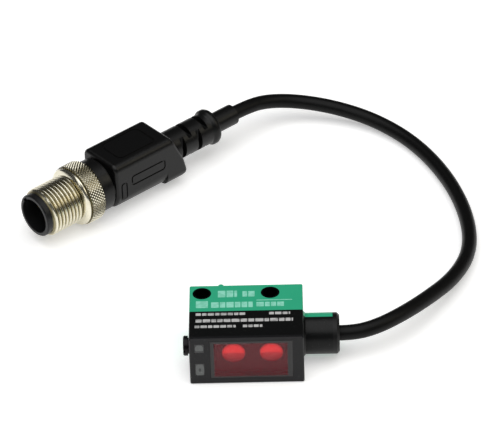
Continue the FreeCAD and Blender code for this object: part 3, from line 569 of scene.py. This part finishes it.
def carved(bm, *cuts):
    """Join to a solid, or cut from it, each of the others in turn."""
    base = spare_object(bm)
    others = []
    for operation, tool in cuts:
        other = spare_object(tool)
        others.append(other)
        step = base.modifiers.new("step", "BOOLEAN")
        step.operation = operation
        step.solver = "EXACT"
        step.object = other
    result = bmesh.new()
    result.from_object(base, bpy.context.evaluated_depsgraph_get())
    for spare in [base, *others]:
        bpy.data.objects.remove(spare)
    bmesh.ops.remove_doubles(result, verts=result.verts, dist=0.001 * MM)
    bmesh.ops.dissolve_degenerate(result, edges=result.edges, dist=0.001 * MM)
    return result


# ------------------------------------------------------------ pieces on the plug

def on_plug(bm, name, look, body, *replaced, smooth_below=35):
    """Put a mesh drawn along the plug's own X axis in its place."""
    bm.transform(PLUG_FRAME)
    made = finished(bm, name, look, body, smooth_below)
    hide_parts(*replaced)
    return made


# ------------------------------------------------------------------ the coupling nut

def ring_closed(bm, inner):
    """Close an open sleeve round the X axis with end faces and an inner wall."""
    rims = [edge for edge in bm.edges if edge.is_boundary]
    grown = bmesh.ops.extrude_edge_only(bm, edges=rims)
    inward = [item for item in grown["geom"] if isinstance(item, bmesh.types.BMVert)]
    for vert in inward:
        radius = math.hypot(vert.co.y, vert.co.z)
        vert.co.y *= inner * MM / radius
        vert.co.z *= inner * MM / radius
    rims = [edge for edge in bm.edges if edge.is_boundary]
    bmesh.ops.bridge_loops(bm, edges=rims)
    bmesh.ops.recalc_face_normals(bm, faces=bm.faces)


def thread_sleeve():
    """A right-handed helical thread with a lead-in at the front."""
    bm = bmesh.new()
    steps_per_turn = 60
    first = NUT_FRONT - PITCH
    turns = math.ceil(THREAD_END - first) + 1
    shape = [
        (0.0, THREAD_ROOT),
        (0.12, THREAD_ROOT),
        (0.42, THREAD_CREST - 0.03),
        (0.48, THREAD_CREST),
        (0.62, THREAD_CREST),
        (0.68, THREAD_CREST - 0.03),
        (0.98, THREAD_ROOT),
        (1.0, THREAD_ROOT),
    ]
    corners = [bm.verts.new(((first + s) * MM, 0, r * MM)) for s, r in shape]
    edges = [bm.edges.new(pair) for pair in zip(corners, corners[1:])]
    bmesh.ops.spin(
        bm,
        geom=corners + edges,
        cent=(0, 0, 0),
        axis=(1, 0, 0),
        dvec=(PITCH * MM / steps_per_turn, 0, 0),
        angle=math.tau * turns,
        steps=steps_per_turn * turns,
    )
    bmesh.ops.remove_doubles(bm, verts=bm.verts, dist=0.002 * MM)
    for station, side in ((NUT_FRONT + 0.05, -1), (THREAD_END + 0.1, 1)):
        bmesh.ops.bisect_plane(
            bm,
            geom=bm.verts[:] + bm.edges[:] + bm.faces[:],
            plane_co=(station * MM, 0, 0),
            plane_no=(side, 0, 0),
            clear_outer=True,
        )
    for vert in bm.verts:
        radius = math.hypot(vert.co.y, vert.co.z)
        lead_in = (THREAD_ROOT - 0.1) * MM + max(0, vert.co.x - NUT_FRONT * MM)
        if radius > lead_in:
            vert.co.y *= lead_in / radius
            vert.co.z *= lead_in / radius
    bmesh.ops.remove_doubles(bm, verts=bm.verts, dist=0.002 * MM)
    ring_closed(bm, THREAD_ROOT - 0.3)
    return bm


def knurl_sleeve():
    """Diamond knurl: a grid rolled round the axis, its pyramids cut off at the top."""
    around, rows = 58, 5
    units_around, units_along = 4 * around, 4 * rows
    bm = bmesh.new()
    bmesh.ops.create_grid(bm, x_segments=units_along, y_segments=units_around, size=0.5)
    edge_slope = 0.3
    for vert in bm.verts:
        along = round((vert.co.x + 0.5) * units_along)
        about = round((vert.co.y + 0.5) * units_around)
        gaps = abs(along % 4 - 2) + abs(about % 4 - 2)
        peak = max(1 - gaps / 2, gaps / 2 - 1)
        height = min(peak, KNURL_CUT) / KNURL_CUT
        station = KNURL_FRONT + (NUT_BACK - KNURL_FRONT) * along / units_along
        end_gap = min(station - KNURL_FRONT, NUT_BACK - station)
        radius = KNURL_FLOOR + (KNURL_PEAK - KNURL_FLOOR) * height
        radius -= max(0, edge_slope - end_gap)
        angle = math.tau * about / units_around
        vert.co = Vector((station, radius * math.cos(angle), radius * math.sin(angle))) * MM
    bmesh.ops.remove_doubles(bm, verts=bm.verts, dist=0.002 * MM)
    ring_closed(bm, KNURL_FLOOR - 0.6)
    return bm


def coupling_nut():
    """Core, thread and knurl of the freely turning nut."""
    bm = turned(
        [
            (NUT_FRONT, BORE),
            (NUT_FRONT, THREAD_ROOT - 0.25),
            (NUT_FRONT + 0.2, THREAD_ROOT - 0.05),
            (THREAD_END, THREAD_ROOT - 0.05),
            (THREAD_END + 0.35, THREAD_ROOT + 0.05),
            (THREAD_END + 0.55, THREAD_ROOT + 0.6),
            (SHOULDER - 0.2, 6.75),
            (SHOULDER, 7.0),
            (SHOULDER + 0.2, 7.16),
            (SHOULDER + 0.45, 7.18),
            (SHOULDER + 0.5, 7.0),
            (KNURL_FRONT + 0.05, 6.98),
            (NUT_BACK - 0.05, 6.98),
            (NUT_BACK, 6.9),
            (NUT_BACK, 5.2),
            (NUT_BACK - 0.2, BORE),
        ],
        steps=120,
    )
    merge_into(bm, thread_sleeve())
    merge_into(bm, knurl_sleeve())
    return on_plug(bm, "nut_body", NICKEL, "coupling_nut", "coupling_nut", smooth_below=28)


nut = coupling_nut()


# --------------------------------------------------------------------- the overmould

COLLAR_RADIUS = 6.5
BLOCK_FRONT = 20.0
HEEL_FRONT = 35.8
BLOCK_BACK = 37.7
HEEL_BACK = 41.9
HALF_WIDTH = 6.1
BLOCK_TOP = 6.9
BLOCK_BOTTOM = -6.0
COLLAR_FRONT = 16.02
COLLAR_BACK = 19.5
COLLAR_EDGE = 0.3
JOINT_RADIUS = 5.6
THROAT_RADIUS = 4.9
TOP_ROUND = 1.8
GRIP_LOW_ROUND = 4.2
HEEL_LOW_ROUND = 2.6
RIM_ROUND = 0.9
GROOVE = 0.38
SIDE_GROOVE_DEPTH = 0.25
TOP_GROOVE_DEPTH = 0.15


def grooved(x, y, z, axis, radius, surface):
    """A groove round an island: a recess cut along an axis, and the island put back."""
    inner = [(low + GROOVE, high - GROOVE) for low, high in (x, y, z)]
    inner[axis] = sorted((surface - math.copysign(1.0, surface), surface))
    return [
        ("DIFFERENCE", bar(x, y, z, axis, radius)),
        ("UNION", bar(*inner, axis, radius - GROOVE)),
    ]


def rounded_along(front, back, low_radius):
    """A block along the plug with soft top edges and rounder bottom ones."""
    bm = bar((front, back), (-HALF_WIDTH, HALF_WIDTH), (BLOCK_BOTTOM, BLOCK_TOP))
    for side, radius in ((1, TOP_ROUND), (-1, low_radius)):
        chosen = [
            edge
            for edge in bm.edges
            if abs(edge.verts[0].co.x - edge.verts[1].co.x) > 1 * MM
            and min(side * vert.co.z for vert in edge.verts) > (-BLOCK_BOTTOM - 0.1) * MM
        ]
        round_edges(bm, chosen, radius, 8)
    return bm


def soften_end(bm, way, radius):
    """Round the rim of the faces that look forward (-1) or back (1)."""
    bm.normal_update()

    def at_end(face):
        return face.normal.x * way > 0.3

    rim = [
        edge
        for edge in bm.edges
        if len(edge.link_faces) == 2 and at_end(edge.link_faces[0]) != at_end(edge.link_faces[1])
    ]
    round_edges(bm, rim, radius, 6)


def side_grooves():
    """Finger grooves on both sides: a long one and a short upright one."""
    cuts = []
    for side in (-1, 1):
        face = side * HALF_WIDTH
        depth = sorted((face - side * SIDE_GROOVE_DEPTH, face + side * 1.0))
        cuts += grooved((24.7, 35.2), depth, (-0.3, 2.5), 1, 0.9, face)
        cuts += grooved((21.5, 23.4), depth, (-3.4, 1.7), 1, 0.8, face)
    return cuts


def overmould():
    """Round collar, grip block with a flat top and finger grooves, square heel."""
    grip = rounded_along(BLOCK_FRONT, HEEL_FRONT + 0.01, GRIP_LOW_ROUND)
    soften_end(grip, -1, RIM_ROUND)
    heel = side_block(
        [
            (HEEL_FRONT, BLOCK_BOTTOM),
            (40.7, BLOCK_BOTTOM),
            (HEEL_BACK, -4.6),
            (HEEL_BACK, -3.4),
            (41.1, -0.3),
            (BLOCK_BACK, BLOCK_TOP),
            (HEEL_FRONT, BLOCK_TOP),
        ],
        HALF_WIDTH + 1,
    )
    section = rounded_along(HEEL_FRONT - 1, HEEL_BACK + 1, HEEL_LOW_ROUND)
    heel = carved(heel, ("INTERSECT", section))
    soften_end(heel, 1, RIM_ROUND)
    collar = turned(
        [
            (COLLAR_FRONT, THROAT_RADIUS),
            (COLLAR_FRONT, COLLAR_RADIUS - COLLAR_EDGE),
            (16.3, COLLAR_RADIUS),
            (19.2, COLLAR_RADIUS),
            (COLLAR_BACK, COLLAR_RADIUS - COLLAR_EDGE),
            (COLLAR_BACK, JOINT_RADIUS),
            (BLOCK_FRONT + 1.5, JOINT_RADIUS),
            (BLOCK_FRONT + 1.5, THROAT_RADIUS),
        ],
        steps=72,
    )
    upright = (BLOCK_TOP - TOP_GROOVE_DEPTH, BLOCK_TOP + 1)
    top = grooved((23.2, 34.6), (-3.9, 3.9), upright, 2, 1.6, BLOCK_TOP)
    solid = carved(grip, ("UNION", heel), ("UNION", collar), *side_grooves(), *top)
    return on_plug(solid, "grip_body", MOULD, "sensor", "plug_overmould", smooth_below=32)


grip_body = overmould()


# --------------------------------------------------------------- the bend relief boot

BOOT_FRONT = 36.8
BOOT_BACK = 52.3
BOOT_BORE = 1.8
BEAD_BACK = 54.65
BOOT_RADIUS = 3.95
BEAD_RADIUS = 4.5
FIRST_SLOT = 43.1
SLOT_PITCH = 2.5
SLOT_WIDTH = 1.25
SLOT_ROUND = 0.3
WEB = 2.35


def boot():
    """Boot with slots that open to the sides and to top and bottom by turns."""
    body = turned(
        [
            (BOOT_FRONT, BOOT_BORE),
            (BOOT_FRONT, BOOT_RADIUS),
            (BOOT_BACK, BOOT_RADIUS),
            (52.6, BOOT_RADIUS + 0.1),
            (52.85, BEAD_RADIUS - 0.2),
            (53.2, BEAD_RADIUS),
            (54.0, BEAD_RADIUS),
            (54.45, BEAD_RADIUS - 0.25),
            (BEAD_BACK, BEAD_RADIUS - 0.7),
            (BEAD_BACK, BOOT_BORE),
        ],
        steps=72,
    )
    cuts = []
    half = SLOT_WIDTH / 2
    for number in range(4):
        station = FIRST_SLOT + SLOT_PITCH * number
        along = (station - half, station + half)
        for side in (-1, 1):
            depth = sorted((side * WEB, side * 6))
            if number % 2:
                slot = bar(along, (-5, 5), depth, 1, SLOT_ROUND)
            else:
                slot = bar(along, depth, (-5, 5), 2, SLOT_ROUND)
            cuts.append(("DIFFERENCE", slot))
    solid = carved(body, *cuts)
    return on_plug(solid, "slotted_boot", MOULD, "sensor", "bend_relief_boot", smooth_below=32)


slotted_boot = boot()


# ------------------------------------------------------------------------- the cable

def free_cable():
    """One smooth line from the grommet to the sleeve behind the plug."""
    start = Vector((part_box("cable_grommet")[1].x, 0.35 * MM, 5.8 * MM))
    end = plug_front + plug_axis * SLEEVE_BACK * MM
    points = [start] + [Vector(point) * MM for point in CABLE_ROUTE] + [end]
    curve = bpy.data.curves.new("free_cable", "CURVE")
    curve.dimensions = "3D"
    spline = curve.splines.new("NURBS")
    spline.points.add(len(points) - 1)
    for control, point in zip(spline.points, points):
        control.co = (*point, 1)
    spline.order_u = 3
    spline.use_endpoint_u = True
    spline.resolution_u = 16
    curve.bevel_depth = CABLE_RADIUS
    curve.bevel_resolution = 8
    curve.use_fill_caps = True
    curve.materials.append(JACKET)
    made = bpy.data.objects.new("free_cable", curve)
    bpy.context.scene.collection.objects.link(made)
    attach(made, "sensor")
    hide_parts("cable")


free_cable()


# ------------------------------------------------------------ the print on the label

PRINT_HEIGHT = 0.012


def printed(name, colour, paler, rows, top):
    """Rows of plain blocks: a row is its x and y limits and the block's width."""
    look = Look(name, Specular_IOR_Level=0.3)
    worn = look.step(look.noise(1.2 * MM, 2), 0.4, 0.7)
    look.set("Base Color", look.mix(worn, colour, paler))
    look.set("Roughness", look.noise(0.4 * MM) * 0.2 + 0.45)
    dice = random.Random(7)
    bm = bmesh.new()
    for x0, x1, y0, y1, width in rows:
        x = x0
        while x < x1 - 0.2:
            wide = min(width * dice.uniform(0.7, 1.3), x1 - x)
            block = bar(
                (x, x + wide),
                (y0, y1),
                (top / MM - PRINT_HEIGHT, top / MM + PRINT_HEIGHT),
                2,
                min(0.12, wide * 0.3),
            )
            merge_into(bm, block)
            x += wide + 0.24
    return finished(bm, name, look.material, "sensor")


def label_print():
    """Mint blocks on the green shell and pale grey ones on the black shell."""
    low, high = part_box("rear_housing")
    left, rear, top = low.x / MM, high.y / MM, high.z
    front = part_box("front_cover")[0].y / MM
    # x from the left end, y from the rear face, block width
    mint = [
        (6.4, 10.7, 1.9, 4.3, 1.9),
        (11.9, 14.9, 2.2, 4.2, 1.4),
        (15.0, 23.0, 5.45, 5.7, 9.0),
        (1.5, 4.2, 5.6, 8.1, 9.0),
        (4.9, 14.2, 6.1, 8.1, 1.7),
        (15.0, 21.5, 6.3, 7.9, 1.4),
    ]
    # x from the left end, y from the front face, block width
    pale = [
        (1.5, 12.5, 8.5, 9.4, 1.3),
        (17.8, 22.5, 8.5, 9.4, 1.5),
        (1.5, 23.1, 6.05, 7.15, 1.4),
        (1.3, 10.4, 4.05, 4.95, 1.2),
        (12.0, 16.3, 4.05, 4.95, 1.3),
    ]
    green_rows = [(left + a, left + b, rear - d, rear - c, w) for a, b, c, d, w in mint]
    black_rows = [(left + a, left + b, front + c, front + d, w) for a, b, c, d, w in pale]
    on_green = printed("mint_print", tone(150, 228, 204), tone(126, 210, 182), green_rows, top)
    on_black = printed("pale_print", tone(196, 196, 196), tone(150, 150, 150), black_rows, top)


label_print()


# ------------------------------------------------------------------ floor and lights

def studio():
    """Plain pale floor, a large soft light overhead, two small ones, dark air."""
    floor_mesh = bpy.data.meshes.new("floor")
    bm = bmesh.new()
    bmesh.ops.create_grid(bm, x_segments=1, y_segments=1, size=3)
    bmesh.ops.translate(bm, vec=(0, 0, -0.05 * MM), verts=bm.verts)
    bm.to_mesh(floor_mesh)
    bm.free()
    floor = bpy.data.objects.new("floor", floor_mesh)
    bpy.context.scene.collection.objects.link(floor)
    paper = bpy.data.materials.new("pale_floor")
    paper.use_nodes = True
    shader = paper.node_tree.nodes["Principled BSDF"]
    shader.inputs["Base Color"].default_value = (0.93, 0.93, 0.93, 1)
    shader.inputs["Roughness"].default_value = 0.9
    shader.inputs["Specular IOR Level"].default_value = 0.1
    shader.inputs["Emission Color"].default_value = (1, 1, 1, 1)
    shader.inputs["Emission Strength"].default_value = 0.4
    floor_mesh.materials.append(paper)
    # name, place, width in metres, watts, colour
    lights = [
        ("overhead", (-0.05, -0.12, 0.75), 1.1, 7.0, (1, 1, 1)),
        ("right_side", (0.62, -0.08, 0.48), 0.38, 0.75, (1, 0.93, 0.76)),
        ("left_front", (-0.55, -0.42, 0.36), 0.16, 0.16, (1, 1, 1)),
    ]
    aim = Vector((0, 0.04, 0.005))
    for name, spot, size, power, colour in lights:
        data = bpy.data.lights.new(name, "AREA")
        data.shape = "SQUARE"
        data.size = size
        data.energy = power
        data.color = colour
        lamp = bpy.data.objects.new(name, data)
        lamp.location = spot
        lamp.rotation_euler = (aim - Vector(spot)).to_track_quat("-Z", "Y").to_euler()
        bpy.context.scene.collection.objects.link(lamp)
    world = bpy.data.worlds.new("studio_air")
    world.use_nodes = True
    air = world.node_tree.nodes["Background"]
    air.inputs["Color"].default_value = (0.95, 0.97, 1, 1)
    air.inputs["Strength"].default_value = 0.05
    bpy.context.scene.world = world
    bpy.context.scene.view_settings.view_transform = "Standard"


studio()
